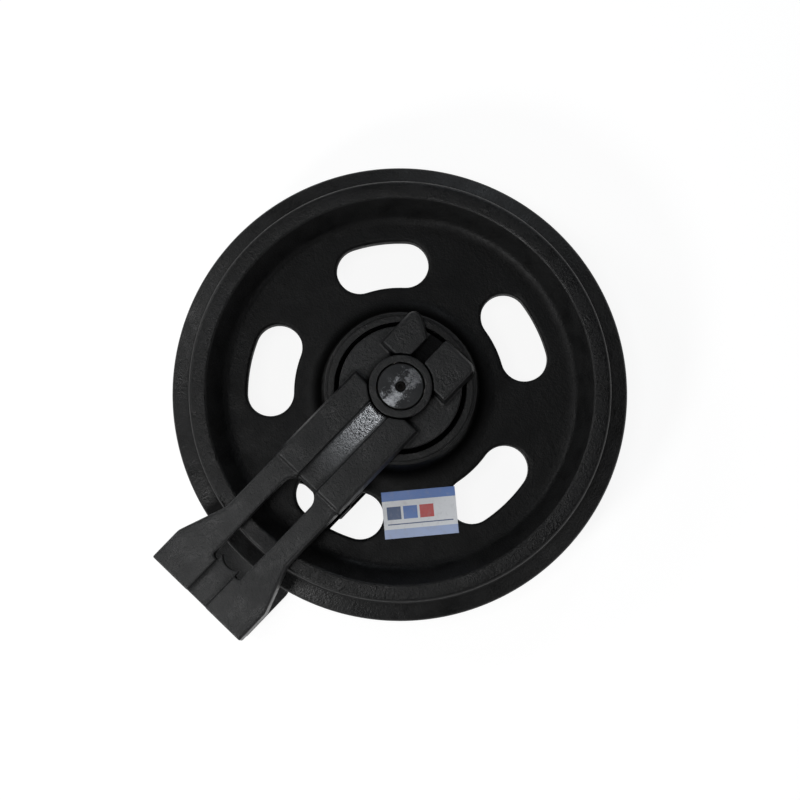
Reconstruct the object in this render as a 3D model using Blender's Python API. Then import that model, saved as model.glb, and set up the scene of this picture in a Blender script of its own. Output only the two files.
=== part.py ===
"""Front idler of a small excavator, lying on its side as it is stored.

Metres, +Z up. The wheel's axis is +Z, the two yoke arms reach towards -X, and the origin is on
the axis at the axle's flat lower end. Each side of the wheel carries the same bracket casting,
turned over, so everything is drawn about the wheel's middle plane and then set at its height.
The lower bracket's foot is a little narrower and reaches further towards the hub.
"""

import math

import bmesh
import bpy
from mathutils import Matrix, Vector

MM = 0.001

# Fits between pieces
SEAT_GAP = 0.3 * MM
RUNNING_GAP = 0.2 * MM
THRUST_GAP = 0.5 * MM

# Wheel rim: a raised guide flange between two treads for the track links
FLANGE_RADIUS = 195 * MM
FLANGE_CREST_WIDTH = 19 * MM
FLANGE_BASE_WIDTH = 30 * MM
TREAD_RADIUS = 179 * MM
RIM_WIDTH = 66 * MM
RIM_LIP_RADIUS = 164.5 * MM
RIM_ROOT_RADIUS = 151 * MM
RIM_EDGE_ROUND = 3 * MM

# Wheel web, with its kidney-shaped lightening slots
WEB_THICKNESS = 16 * MM
WEB_FILLET = 10 * MM
SLOT_COUNT = 5
SLOT_CIRCLE_RADIUS = 111 * MM
SLOT_WIDTH = 40 * MM
SLOT_HALF_SPAN = math.radians(10.3)
SLOT_PHASE = math.radians(-20.3)
SLOT_EDGE_CHAMFER = 2.2 * MM

# Wheel hub
HUB_LENGTH = 94 * MM
HUB_RADIUS = 64.5 * MM
HUB_ROOT_RADIUS = 69 * MM
HUB_FILLET = 15 * MM
HUB_FACE_WIDTH = 5.7 * MM
HUB_FACE_STEP = 1.2 * MM
HUB_EDGE_ROUND = 2 * MM

# Axle, with the oil gallery that its plug closes
AXLE_RADIUS = 20 * MM
AXLE_CHAMFER = 1.2 * MM
GALLERY_RADIUS = 2.5 * MM
PLUG_RADIUS = 4.2 * MM
PLUG_LENGTH = 9 * MM
PLUG_RECESS = 1.5 * MM
PLUG_SOCKET_RADIUS = 2.3 * MM
PLUG_SOCKET_DEPTH = 4 * MM

# Flanged bushes, pressed into the hub
BUSH_WALL = 3.5 * MM
BUSH_FLANGE_THICKNESS = 2.2 * MM
OIL_SPACE = 6 * MM

# Floating seals: a pair of metal rings face to face, each carried by a rubber toric ring
SEAL_HOUSING_RADIUS = 44 * MM
SEAL_RING_LENGTH = 7.6 * MM
SEAL_RING_WALL = 6.2 * MM
SEAL_RING_TAPER = 3 * MM
SEAL_LIP_OVERHANG = 1.8 * MM
SEAL_LIP_THICKNESS = 1.8 * MM
TORIC_RADIUS = 2.6 * MM

# Rubber rings that keep the oil in between axle and bracket
AXLE_RING_RADIUS = 1.2 * MM
AXLE_GROOVE_DEPTH = 2.6 * MM
AXLE_RING_FROM_FACE = 6 * MM

# Bracket: the disc that closes the hub, its sleeve and the boss round the axle
DISC_RADIUS = 51.5 * MM
DISC_COVER = 3.3 * MM
LABYRINTH_GAP = 3.8 * MM
LABYRINTH_DEPTH = 5 * MM
LABYRINTH_CLEARANCE = 1.5 * MM
SLEEVE_CLEARANCE = 2.7 * MM
SLAB_RISE = 1 * MM
BOSS_RADIUS = 26.5 * MM
BOSS_HEIGHT = 9 * MM
BOSS_CHAMFER = 1 * MM
BOSS_CLEARANCE = 1 * MM

# Bracket: slide bar, outer pads, forked arm and foot
BAR_WIDTH = 70 * MM
BAR_START = 17.5 * MM
BAR_END = 111 * MM
PAD_START = 16.5 * MM
PAD_END = 54 * MM
PAD_CORNER = 7 * MM
PAD_GAP_WIDTH = 12.5 * MM
PAD_GAP_SHIFT = 5.8 * MM
PAD_BEVEL_LENGTH = 10 * MM
PAD_BEVEL_WIDTH = 17.5 * MM
PAD_BEVEL_CORNER = 4 * MM
ARM_STEP = 3 * MM
GROOVE_WIDTH = 21 * MM
GROOVE_DEPTH = 4 * MM
RIM_CLEARANCE = 5 * MM
HUB_CLEARANCE = 3.5 * MM
FLARE_START = 172 * MM
FLARE_END = 213 * MM
FOOT_WIDTH = 100 * MM
FOOT_END = 243.5 * MM
WINDOW_WIDTH = 31 * MM
WINDOW_START = 113 * MM
WINDOW_END = 207 * MM
WINDOW_CORNER = 11 * MM
TONGUE_HOLLOW_RADIUS = 13 * MM
TONGUE_CORNER_REACH = 1.5 * MM
TONGUE_CORNER_ROUND = 3 * MM
TONGUE_TRIM = 0.5 * MM
FAR_FOOT_WIDTH = 96 * MM
FAR_FOOT_REACH = 20 * MM
CAST_CHAMFER = 1.3 * MM
CAST_DRAFT = math.tan(math.radians(3))

# Lock pin through each boss and the axle, beside the oil plug
PIN_RADIUS = 3 * MM
PIN_OFFSET = 11 * MM

# Label on the web
LABEL_LENGTH = 63 * MM
LABEL_WIDTH = 40 * MM
LABEL_THICKNESS = 0.4 * MM
LABEL_RADIUS = 104.5 * MM
LABEL_ANGLE = math.radians(-126.8)
LABEL_TURN = math.radians(-40.9)

# Facets round a full turn
WHEEL_FACETS = 56
BORE_FACETS = 40
RING_FACETS = 24
SECTION_FACETS = 6
PIN_FACETS = 14
GALLERY_FACETS = 10
SOCKET_FACETS = 6
ARC_STEP = math.radians(45)
SLOT_ARC_STEP = math.radians(30)
SLOT_SIDE_STEP = math.radians(7)

# Sizes that follow from the ones above
RIM_HALF = RIM_WIDTH / 2
WEB_HALF = WEB_THICKNESS / 2
HUB_HALF = HUB_LENGTH / 2
BUSH_BORE_RADIUS = AXLE_RADIUS + RUNNING_GAP
BUSH_RADIUS = BUSH_BORE_RADIUS + BUSH_WALL
LABYRINTH_FLOOR = HUB_HALF - LABYRINTH_DEPTH
LABYRINTH_RADIUS = DISC_RADIUS + LABYRINTH_GAP
DISC_LOW = LABYRINTH_FLOOR + LABYRINTH_CLEARANCE
SEAL_FACE = (LABYRINTH_FLOOR + DISC_LOW) / 2
SEAL_ROOT_RADIUS = SEAL_HOUSING_RADIUS - 2 * (TORIC_RADIUS + SEAT_GAP)
SEAL_BORE_RADIUS = SEAL_ROOT_RADIUS - SEAL_RING_WALL
BUSH_FLANGE_RADIUS = (BUSH_RADIUS + SEAL_BORE_RADIUS) / 2
SEAL_HALF = SEAL_RING_LENGTH + RUNNING_GAP / 2
SEAL_DEPTH = SEAL_HALF + SEAT_GAP
SEAL_FLOOR = SEAL_FACE - SEAL_DEPTH
BRACKET_SEAL_FLOOR = SEAL_FACE + SEAL_DEPTH
BUSH_FLANGE_TOP = SEAL_FLOOR + SEAT_GAP + BUSH_FLANGE_THICKNESS
SLEEVE_END = BUSH_FLANGE_TOP + THRUST_GAP
SLEEVE_RADIUS = SEAL_BORE_RADIUS - SLEEVE_CLEARANCE
DISC_TOP = BRACKET_SEAL_FLOOR + DISC_COVER
BRACKET_TOP = DISC_TOP + BOSS_HEIGHT
ARM_TOP = BRACKET_TOP - ARM_STEP
SLAB_LOW = BRACKET_SEAL_FLOOR + SLAB_RISE
ARM_LOW = RIM_HALF + RIM_CLEARANCE
AXLE_RING_HEIGHT = DISC_TOP - AXLE_RING_FROM_FACE
PIN_HEIGHT = (DISC_TOP + BRACKET_TOP) / 2
PIN_HALF = math.sqrt(BOSS_RADIUS**2 - (PIN_OFFSET + PIN_RADIUS) ** 2)
HOLE_OVERSHOOT = 5 * MM
WELD_DISTANCE = 0.001 * MM
SHARP_ANGLE = math.radians(30)

PAINT = (0.012, 0.013, 0.014)
STEEL = (0.42, 0.41, 0.39)
RUBBER = (0.02, 0.02, 0.02)
BRONZE = (0.45, 0.27, 0.10)
PAPER = (0.62, 0.74, 0.86)
GLOSS_ROUGHNESS = 0.35
GROUND_ROUGHNESS = 0.3
MATT_ROUGHNESS = 0.6
METAL = 1


def clear_scene():
    for item in list(bpy.data.objects):
        bpy.data.objects.remove(item, do_unlink=True)


def material(name, colour, roughness, metallic=0):
    made = bpy.data.materials.new(name)
    made.use_nodes = True
    shader = made.node_tree.nodes["Principled BSDF"]
    shader.inputs["Base Color"].default_value = (*colour, 1)
    shader.inputs["Roughness"].default_value = roughness
    shader.inputs["Metallic"].default_value = metallic
    made.diffuse_color = (*colour, 1)
    return made


def empty(name, height):
    made = bpy.data.objects.new(name, None)
    made.empty_display_size = AXLE_RADIUS
    made.location.z = height
    bpy.context.collection.objects.link(made)
    return made


def new_object(name, shape, parent=None, finish=None):
    """Object of a bmesh, with its faces turned outwards and its round sides shaded smooth."""
    bmesh.ops.recalc_face_normals(shape, faces=shape.faces)
    mesh = bpy.data.meshes.new(name)
    shape.to_mesh(mesh)
    shape.free()
    mesh.shade_smooth()
    mesh.set_sharp_from_angle(angle=SHARP_ANGLE)
    made = bpy.data.objects.new(name, mesh)
    bpy.context.collection.objects.link(made)
    made.parent = parent
    if finish:
        mesh.materials.append(finish)
    return made


def helper(made):
    """Marks an object that only cuts or joins another."""
    made.hide_render = True
    made.display_type = "WIRE"
    return made


def boolean(target, other, operation):
    change = target.modifiers.new(other.name, "BOOLEAN")
    change.object = helper(other)
    change.operation = operation
    change.solver = "EXACT"


def rounded(corners):
    """Closed outline through (x, y, radius) corners, each one rounded by its radius."""
    outline = []
    for index, (x, y, radius) in enumerate(corners):
        here = Vector((x, y))
        if radius == 0:
            outline.append(here)
            continue
        before = (Vector(corners[index - 1][:2]) - here).normalized()
        after = (Vector(corners[(index + 1) % len(corners)][:2]) - here).normalized()
        half = before.angle(after) / 2
        centre = here + (before + after).normalized() * (radius / math.sin(half))
        arm = here + before * (radius / math.tan(half)) - centre
        turn = math.pi - 2 * half
        if before.x * after.y - before.y * after.x > 0:
            turn = -turn
        steps = math.ceil(abs(turn) / ARC_STEP)
        for step in range(steps + 1):
            outline.append(centre + Matrix.Rotation(turn * step / steps, 2) @ arm)
    return outline


def mirrored_profile(upper):
    """Profile corners of the upper half, followed by their mirror image below the middle plane."""
    return upper + [(radius, -height, fillet) for radius, height, fillet in reversed(upper)]


def turned(profile, facets):
    """bmesh of a closed (radius, height) profile spun round Z. A side along the axis needs no wall."""
    shape = bmesh.new()
    ring = [shape.verts.new((point[0], 0, point[1])) for point in profile]
    for index, vertex in enumerate(ring):
        follow = ring[(index + 1) % len(ring)]
        if vertex.co.x > 0 or follow.co.x > 0:
            shape.edges.new((vertex, follow))
    bmesh.ops.spin(
        shape,
        geom=shape.verts[:] + shape.edges[:],
        axis=(0, 0, 1),
        cent=(0, 0, 0),
        angle=math.tau,
        steps=facets,
        use_merge=True,
    )
    bmesh.ops.remove_doubles(shape, verts=shape.verts, dist=WELD_DISTANCE)
    return shape


def lofted(levels):
    """bmesh of outlines with as many points each, stacked as (outline, height) from low to high."""
    shape = bmesh.new()
    rings = [[shape.verts.new((x, y, height)) for x, y in outline] for outline, height in levels]
    shape.faces.new(list(reversed(rings[0])))
    shape.faces.new(rings[-1])
    for low, high in zip(rings, rings[1:]):
        for index in range(len(low)):
            follow = (index + 1) % len(low)
            shape.faces.new((low[index], low[follow], high[follow], high[index]))
    return shape


def grown(outline, distance):
    """Counter-clockwise outline with each side moved outwards by a distance."""
    moved = []
    for index, here in enumerate(outline):
        before = (Vector(here) - Vector(outline[index - 1])).normalized()
        after = (Vector(outline[(index + 1) % len(outline)]) - Vector(here)).normalized()
        across = Vector((before.y + after.y, -before.x - after.x)).normalized()
        stretch = math.sqrt((1 + before.dot(after)) / 2)
        moved.append(Vector(here) + across * (distance / stretch))
    return moved


def cast_prism(outline, low, high):
    """Prism with drafted sides and a chamfered upper edge."""
    base = grown(outline, (high - low) * CAST_DRAFT)
    top = grown(outline, -CAST_CHAMFER)
    return lofted([(base, low), (outline, high - CAST_CHAMFER), (top, high)])


def prism(outline, low, high):
    return lofted([(outline, low), (outline, high)])


def arc(centre, radius, start, end, steps):
    """Points along an arc, without its last one."""
    angles = [start + (end - start) * step / steps for step in range(steps)]
    return [
        Vector((centre[0] + radius * math.cos(angle), centre[1] + radius * math.sin(angle)))
        for angle in angles
    ]


def circle(radius, facets, centre=(0, 0)):
    return arc(centre, radius, 0, math.tau, facets)


def box_outline(low_x, high_x, half_y):
    return [(low_x, -half_y), (high_x, -half_y), (high_x, half_y), (low_x, half_y)]


def kidney(extra):
    """Outline of one slot on its circle, grown by an extra width: two long arcs with round ends."""
    reach = SLOT_WIDTH / 2 + extra
    end_steps = math.ceil(math.pi / SLOT_ARC_STEP)
    side_steps = math.ceil(2 * SLOT_HALF_SPAN / SLOT_SIDE_STEP)
    outline = []
    for side in (1, -1):
        end = side * SLOT_HALF_SPAN
        outline += arc((0, 0), SLOT_CIRCLE_RADIUS + side * reach, -end, end, side_steps)
        centre = (SLOT_CIRCLE_RADIUS * math.cos(end), SLOT_CIRCLE_RADIUS * math.sin(end))
        cap_start = end if side > 0 else end + math.pi
        outline += arc(centre, reach, cap_start, cap_start + math.pi, end_steps)
    return outline


def slot_cutter(number):
    """Slot that widens at both faces of the web, so that its edges come out chamfered."""
    face = WEB_HALF + SLOT_EDGE_CHAMFER
    neck = WEB_HALF - SLOT_EDGE_CHAMFER
    plain = kidney(0)
    wide = kidney(2 * SLOT_EDGE_CHAMFER)
    shape = lofted([(wide, -face), (plain, -neck), (plain, neck), (wide, face)])
    turn = Matrix.Rotation(SLOT_PHASE + math.tau * number / SLOT_COUNT, 4, "Z")
    bmesh.ops.transform(shape, matrix=turn, verts=shape.verts)
    return shape


def make_wheel(parent, finish):
    bore = BUSH_RADIUS + SEAT_GAP
    face_radius = LABYRINTH_RADIUS + HUB_FACE_WIDTH
    upper = [
        (bore, SEAL_FLOOR, 0),
        (SEAL_HOUSING_RADIUS, SEAL_FLOOR, 0),
        (SEAL_HOUSING_RADIUS, LABYRINTH_FLOOR, 0),
        (LABYRINTH_RADIUS, LABYRINTH_FLOOR, 0),
        (LABYRINTH_RADIUS, HUB_HALF, 0),
        (face_radius, HUB_HALF, 0),
        (face_radius, HUB_HALF - HUB_FACE_STEP, 0),
        (HUB_RADIUS, HUB_HALF - HUB_FACE_STEP, HUB_EDGE_ROUND),
        (HUB_ROOT_RADIUS, WEB_HALF, HUB_FILLET),
        (RIM_ROOT_RADIUS, WEB_HALF, WEB_FILLET),
        (RIM_LIP_RADIUS, RIM_HALF, RIM_EDGE_ROUND),
        (TREAD_RADIUS, RIM_HALF, RIM_EDGE_ROUND),
        (TREAD_RADIUS, FLANGE_BASE_WIDTH / 2, RIM_EDGE_ROUND),
        (FLANGE_RADIUS, FLANGE_CREST_WIDTH / 2, RIM_EDGE_ROUND),
    ]
    wheel = new_object(
        "idler_wheel",
        turned(rounded(mirrored_profile(upper)), WHEEL_FACETS),
        parent,
        finish,
    )
    for number in range(SLOT_COUNT):
        cutter = new_object(f"slot_{number + 1}_cut", slot_cutter(number), parent)
        boolean(wheel, cutter, "DIFFERENCE")


def make_bush(name, side, parent, finish):
    low = OIL_SPACE / 2
    high = SEAL_FLOOR + SEAT_GAP
    profile = [
        (BUSH_BORE_RADIUS, low),
        (BUSH_RADIUS, low),
        (BUSH_RADIUS, high),
        (BUSH_FLANGE_RADIUS, high),
        (BUSH_FLANGE_RADIUS, BUSH_FLANGE_TOP),
        (BUSH_BORE_RADIUS, BUSH_FLANGE_TOP),
    ]
    made = new_object(name, turned(profile, BORE_FACETS), parent, finish)
    made.rotation_euler.x = side


def make_seal_ring(name, side, towards_wheel, parent, finish):
    """Ring with a sealing lip and a tail that narrows behind it, where the rubber ring grips."""
    direction = -1 if towards_wheel else 1
    face = SEAL_FACE + direction * RUNNING_GAP / 2
    tail = face + direction * SEAL_RING_LENGTH
    lip_back = face + direction * SEAL_LIP_THICKNESS
    lip_root = face + direction * 2 * SEAL_LIP_THICKNESS
    profile = [
        (SEAL_BORE_RADIUS, face),
        (SEAL_ROOT_RADIUS + SEAL_LIP_OVERHANG, face),
        (SEAL_ROOT_RADIUS + SEAL_LIP_OVERHANG, lip_back),
        (SEAL_ROOT_RADIUS, lip_root),
        (SEAL_ROOT_RADIUS - SEAL_RING_TAPER, tail),
        (SEAL_BORE_RADIUS, tail),
    ]
    made = new_object(name, turned(profile, RING_FACETS), parent, finish)
    made.rotation_euler.x = side


def torus(centre_radius, section_radius, height, section_facets, facets):
    section = circle(section_radius, section_facets, (centre_radius, height))
    return turned(section, facets)


def make_toric(name, side, towards_wheel, parent, finish):
    """Rubber ring wedged between the housing's wall and floor, behind the seal ring's lip."""
    direction = -1 if towards_wheel else 1
    centre = SEAL_HOUSING_RADIUS - SEAT_GAP - TORIC_RADIUS
    height = SEAL_FACE + direction * (SEAL_DEPTH - SEAT_GAP - TORIC_RADIUS)
    shape = torus(centre, TORIC_RADIUS, height, SECTION_FACETS, RING_FACETS)
    made = new_object(name, shape, parent, finish)
    made.rotation_euler.x = side


def make_axle(parent, finish):
    groove_floor = AXLE_RADIUS - AXLE_GROOVE_DEPTH
    groove_half = AXLE_RING_RADIUS + SEAT_GAP
    upper = [
        (AXLE_RADIUS, AXLE_RING_HEIGHT - groove_half, 0),
        (groove_floor, AXLE_RING_HEIGHT - groove_half, 0),
        (groove_floor, AXLE_RING_HEIGHT + groove_half, 0),
        (AXLE_RADIUS, AXLE_RING_HEIGHT + groove_half, 0),
        (AXLE_RADIUS, BRACKET_TOP - AXLE_CHAMFER, 0),
        (AXLE_RADIUS - AXLE_CHAMFER, BRACKET_TOP, 0),
        (0, BRACKET_TOP, 0),
    ]
    axle = new_object(
        "axle",
        turned(rounded(mirrored_profile(upper)), BORE_FACETS),
        parent,
        finish,
    )
    for side in (1, -1):
        height = side * PIN_HEIGHT
        cutter = cross_cylinder("pin_hole", PIN_RADIUS + SEAT_GAP, AXLE_RADIUS * 2, height, parent)
        boolean(axle, cutter, "DIFFERENCE")
    plug_seat = BRACKET_TOP - PLUG_RECESS - PLUG_LENGTH - SEAT_GAP
    tapped = prism(
        circle(PLUG_RADIUS + SEAT_GAP, PIN_FACETS),
        plug_seat,
        BRACKET_TOP + HOLE_OVERSHOOT,
    )
    boolean(axle, new_object("plug_hole", tapped, parent), "DIFFERENCE")
    gallery = prism(circle(GALLERY_RADIUS, GALLERY_FACETS), 0, plug_seat + HOLE_OVERSHOOT)
    boolean(axle, new_object("oil_gallery", gallery, parent), "DIFFERENCE")
    outlet = prism(circle(GALLERY_RADIUS, GALLERY_FACETS), 0, AXLE_RADIUS + HOLE_OVERSHOOT)
    crossing = new_object("oil_outlet", outlet, parent)
    crossing.rotation_euler.y = math.pi / 2
    crossing.location.z = 2 * GALLERY_RADIUS
    boolean(axle, crossing, "DIFFERENCE")


def cross_cylinder(name, radius, half_length, height, parent, finish=None):
    """Cylinder along Y, across the axle and beside its middle."""
    shape = prism(circle(radius, PIN_FACETS), -half_length, half_length)
    made = new_object(name, shape, parent, finish)
    made.rotation_euler.x = math.pi / 2
    made.location.x = PIN_OFFSET
    made.location.z = height
    return made


def make_axle_ring(name, side, parent, finish):
    centre = AXLE_RADIUS + SEAT_GAP / 2 - AXLE_RING_RADIUS
    shape = torus(centre, AXLE_RING_RADIUS, AXLE_RING_HEIGHT, SECTION_FACETS, RING_FACETS)
    made = new_object(name, shape, parent, finish)
    made.rotation_euler.x = side


def make_plug(parent, finish):
    low = BRACKET_TOP - PLUG_RECESS - PLUG_LENGTH
    shape = prism(circle(PLUG_RADIUS, PIN_FACETS), low, BRACKET_TOP - PLUG_RECESS)
    plug = new_object("oil_plug", shape, parent, finish)
    socket = prism(
        circle(PLUG_SOCKET_RADIUS, SOCKET_FACETS),
        BRACKET_TOP - PLUG_RECESS - PLUG_SOCKET_DEPTH,
        BRACKET_TOP + HOLE_OVERSHOOT,
    )
    boolean(plug, new_object("plug_socket", socket, parent), "DIFFERENCE")


def foot_outline(foot_width, foot_reach):
    """Fork and foot seen from above: parallel prongs that flare into the wider foot."""
    bar_half = BAR_WIDTH / 2
    foot_half = foot_width / 2
    bend = WINDOW_CORNER
    start = -BAR_END + WINDOW_CORNER
    end = -FOOT_END - HOLE_OVERSHOOT
    flare_start = foot_reach - FLARE_START
    flare_end = foot_reach - FLARE_END
    corners = [
        (end, -foot_half, 0),
        (flare_end, -foot_half, bend),
        (flare_start, -bar_half, bend),
        (start, -bar_half, 0),
        (start, bar_half, 0),
        (flare_start, bar_half, bend),
        (flare_end, foot_half, bend),
        (end, foot_half, 0),
    ]
    return rounded(corners)


def window_cutter(foot_reach, parent):
    """Opening between the prongs. The tongue in the foot ends hollow, with a corner beside it."""
    half = WINDOW_WIDTH / 2
    tongue_half = GROOVE_WIDTH / 2 - TONGUE_TRIM
    end = foot_reach - WINDOW_END
    corner_end = end - TONGUE_CORNER_REACH
    centre = end + TONGUE_HOLLOW_RADIUS
    opening = math.asin(tongue_half / TONGUE_HOLLOW_RADIUS)
    hollow_end = centre - TONGUE_HOLLOW_RADIUS * math.cos(opening)
    corners = [
        (hollow_end, -tongue_half, 0),
        (corner_end, -tongue_half, 0),
        (corner_end, -half, TONGUE_CORNER_ROUND),
        (-WINDOW_START, -half, WINDOW_CORNER),
        (-WINDOW_START, half, WINDOW_CORNER),
        (corner_end, half, TONGUE_CORNER_ROUND),
        (corner_end, tongue_half, 0),
    ]
    steps = math.ceil(2 * opening / SLOT_ARC_STEP)
    hollow = arc(
        (centre, 0), TONGUE_HOLLOW_RADIUS, math.pi - opening, math.pi + opening, steps
    )
    shape = prism(
        rounded(corners) + hollow,
        ARM_LOW - HOLE_OVERSHOOT,
        BRACKET_TOP + HOLE_OVERSHOOT,
    )
    return new_object("window_cut", shape, parent)


def groove_cutter(name, low_x, high_x, width, floor, parent):
    outline = box_outline(low_x, high_x, width / 2)
    shape = prism(outline, floor, BRACKET_TOP + HOLE_OVERSHOOT)
    return new_object(name, shape, parent)


def make_bracket(name, side, foot_width, foot_reach, parent, finish):
    """One casting: slide bar, pads, fork and foot, joined to the turned disc, sleeve and boss."""
    bar_half = BAR_WIDTH / 2
    bar_outline = box_outline(-BAR_END, -BAR_START, bar_half)
    bracket = new_object(name, cast_prism(bar_outline, SLAB_LOW, BRACKET_TOP), parent, finish)
    gap_side = PAD_GAP_SHIFT + PAD_GAP_WIDTH / 2
    pad_outline = rounded(
        [
            (PAD_START, -bar_half, 0),
            (PAD_END, -bar_half, PAD_CORNER),
            (PAD_END, 0, 0),
            (PAD_END - PAD_BEVEL_LENGTH, gap_side, 0),
            (PAD_END, gap_side + PAD_BEVEL_WIDTH, 0),
            (PAD_END, bar_half, PAD_BEVEL_CORNER),
            (PAD_START, bar_half, 0),
        ]
    )
    pads = new_object("pads", cast_prism(pad_outline, SLAB_LOW, BRACKET_TOP), parent)
    boolean(bracket, pads, "UNION")
    shank_start = -HUB_RADIUS - HUB_CLEARANCE - CAST_CHAMFER
    shank_outline = box_outline(-BAR_END, shank_start, bar_half - CAST_CHAMFER)
    shank = cast_prism(shank_outline, ARM_LOW, BRACKET_TOP - GROOVE_DEPTH / 2)
    boolean(bracket, new_object("shank", shank, parent), "UNION")
    fork_outline = foot_outline(foot_width, foot_reach)
    fork = new_object("fork", cast_prism(fork_outline, ARM_LOW, ARM_TOP), parent)
    boolean(bracket, fork, "UNION")
    beyond = box_outline(-FOOT_END - FOOT_WIDTH, -FOOT_END, FOOT_WIDTH)
    trim = prism(beyond, ARM_LOW - HOLE_OVERSHOOT, BRACKET_TOP + HOLE_OVERSHOOT)
    boolean(bracket, new_object("foot_trim", trim, parent), "DIFFERENCE")
    bar_floor = BRACKET_TOP - GROOVE_DEPTH
    groove = groove_cutter("bar_groove", -BAR_END, 0, GROOVE_WIDTH, bar_floor, parent)
    boolean(bracket, groove, "DIFFERENCE")
    pad_gap = groove_cutter("pad_gap", 0, FLANGE_RADIUS, PAD_GAP_WIDTH, ARM_LOW, parent)
    pad_gap.location.y = PAD_GAP_SHIFT
    boolean(bracket, pad_gap, "DIFFERENCE")
    foot_start = -FOOT_END - 2 * HOLE_OVERSHOOT
    foot_floor = ARM_TOP - GROOVE_DEPTH
    foot_groove = groove_cutter(
        "foot_groove", foot_start, -BAR_END, GROOVE_WIDTH, foot_floor, parent
    )
    boolean(bracket, foot_groove, "DIFFERENCE")
    boolean(bracket, window_cutter(foot_reach, parent), "DIFFERENCE")
    seat = prism(
        circle(BOSS_RADIUS + BOSS_CLEARANCE, BORE_FACETS),
        ARM_LOW,
        BRACKET_TOP + HOLE_OVERSHOOT,
    )
    boolean(bracket, new_object("boss_seat", seat, parent), "DIFFERENCE")
    bore = AXLE_RADIUS + SEAT_GAP
    profile = [
        (bore, SLEEVE_END),
        (SLEEVE_RADIUS, SLEEVE_END),
        (SLEEVE_RADIUS, BRACKET_SEAL_FLOOR),
        (SEAL_HOUSING_RADIUS, BRACKET_SEAL_FLOOR),
        (SEAL_HOUSING_RADIUS, DISC_LOW),
        (DISC_RADIUS, DISC_LOW),
        (DISC_RADIUS, DISC_TOP),
        (BOSS_RADIUS, DISC_TOP),
        (BOSS_RADIUS, BRACKET_TOP - BOSS_CHAMFER),
        (BOSS_RADIUS - BOSS_CHAMFER, BRACKET_TOP),
        (bore, BRACKET_TOP),
    ]
    body = new_object("turned_body", turned(profile, BORE_FACETS), parent)
    boolean(bracket, body, "UNION")
    pin_hole = cross_cylinder(
        "boss_pin_hole", PIN_RADIUS + SEAT_GAP, BOSS_RADIUS * 2, PIN_HEIGHT, parent
    )
    boolean(bracket, pin_hole, "DIFFERENCE")
    for part in [bracket] + [change.object for change in bracket.modifiers]:
        place_on_side(part, side)


def place_on_side(part, side):
    """Turns a piece over about X, so that it serves the wheel's other side."""
    part.matrix_basis = Matrix.Rotation(side, 4, "X") @ part.matrix_basis


def make_label(parent, finish):
    outline = [
        (-LABEL_LENGTH / 2, -LABEL_WIDTH / 2),
        (LABEL_LENGTH / 2, -LABEL_WIDTH / 2),
        (LABEL_LENGTH / 2, LABEL_WIDTH / 2),
        (-LABEL_LENGTH / 2, LABEL_WIDTH / 2),
    ]
    label = new_object("label", prism(outline, 0, LABEL_THICKNESS), parent, finish)
    label.location.x = LABEL_RADIUS * math.cos(LABEL_ANGLE)
    label.location.y = LABEL_RADIUS * math.sin(LABEL_ANGLE)
    label.location.z = WEB_HALF + SEAT_GAP
    label.rotation_euler.z = LABEL_TURN


def main():
    clear_scene()
    paint = material("black_paint", PAINT, GLOSS_ROUGHNESS)
    steel = material("ground_steel", STEEL, GROUND_ROUGHNESS, METAL)
    rubber = material("seal_rubber", RUBBER, MATT_ROUGHNESS)
    bronze = material("bush_bronze", BRONZE, GROUND_ROUGHNESS, METAL)
    paper = material("label_paper", PAPER, GLOSS_ROUGHNESS)
    wheel_axis = empty("wheel_axis", BRACKET_TOP)
    yoke_axis = empty("yoke_axis", BRACKET_TOP)
    make_wheel(wheel_axis, paint)
    make_label(wheel_axis, paper)
    make_axle(yoke_axis, steel)
    make_plug(yoke_axis, steel)
    sides = (
        ("upper", 0, FOOT_WIDTH, 0),
        ("lower", math.pi, FAR_FOOT_WIDTH, FAR_FOOT_REACH),
    )
    for word, side, foot_width, foot_reach in sides:
        make_bush(f"bush_{word}", side, wheel_axis, bronze)
        make_seal_ring(f"seal_ring_wheel_{word}", side, True, wheel_axis, steel)
        make_seal_ring(f"seal_ring_bracket_{word}", side, False, yoke_axis, steel)
        make_toric(f"toric_wheel_{word}", side, True, wheel_axis, rubber)
        make_toric(f"toric_bracket_{word}", side, False, yoke_axis, rubber)
        make_axle_ring(f"axle_oring_{word}", side, yoke_axis, rubber)
        make_bracket(f"bracket_{word}", side, foot_width, foot_reach, yoke_axis, paint)
        pin = cross_cylinder(f"lock_pin_{word}", PIN_RADIUS, PIN_HALF, PIN_HEIGHT, yoke_axis, steel)
        place_on_side(pin, side)


main()
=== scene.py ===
"""Looks of the front idler: finer castings and turned parts, finishes, floor, light and camera.

Metres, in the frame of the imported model. Heights are drawn from the wheel's middle plane, and the
lower bracket is the upper one turned over.
"""

import math

import bmesh
import bpy
from mathutils import Matrix, Vector


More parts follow.
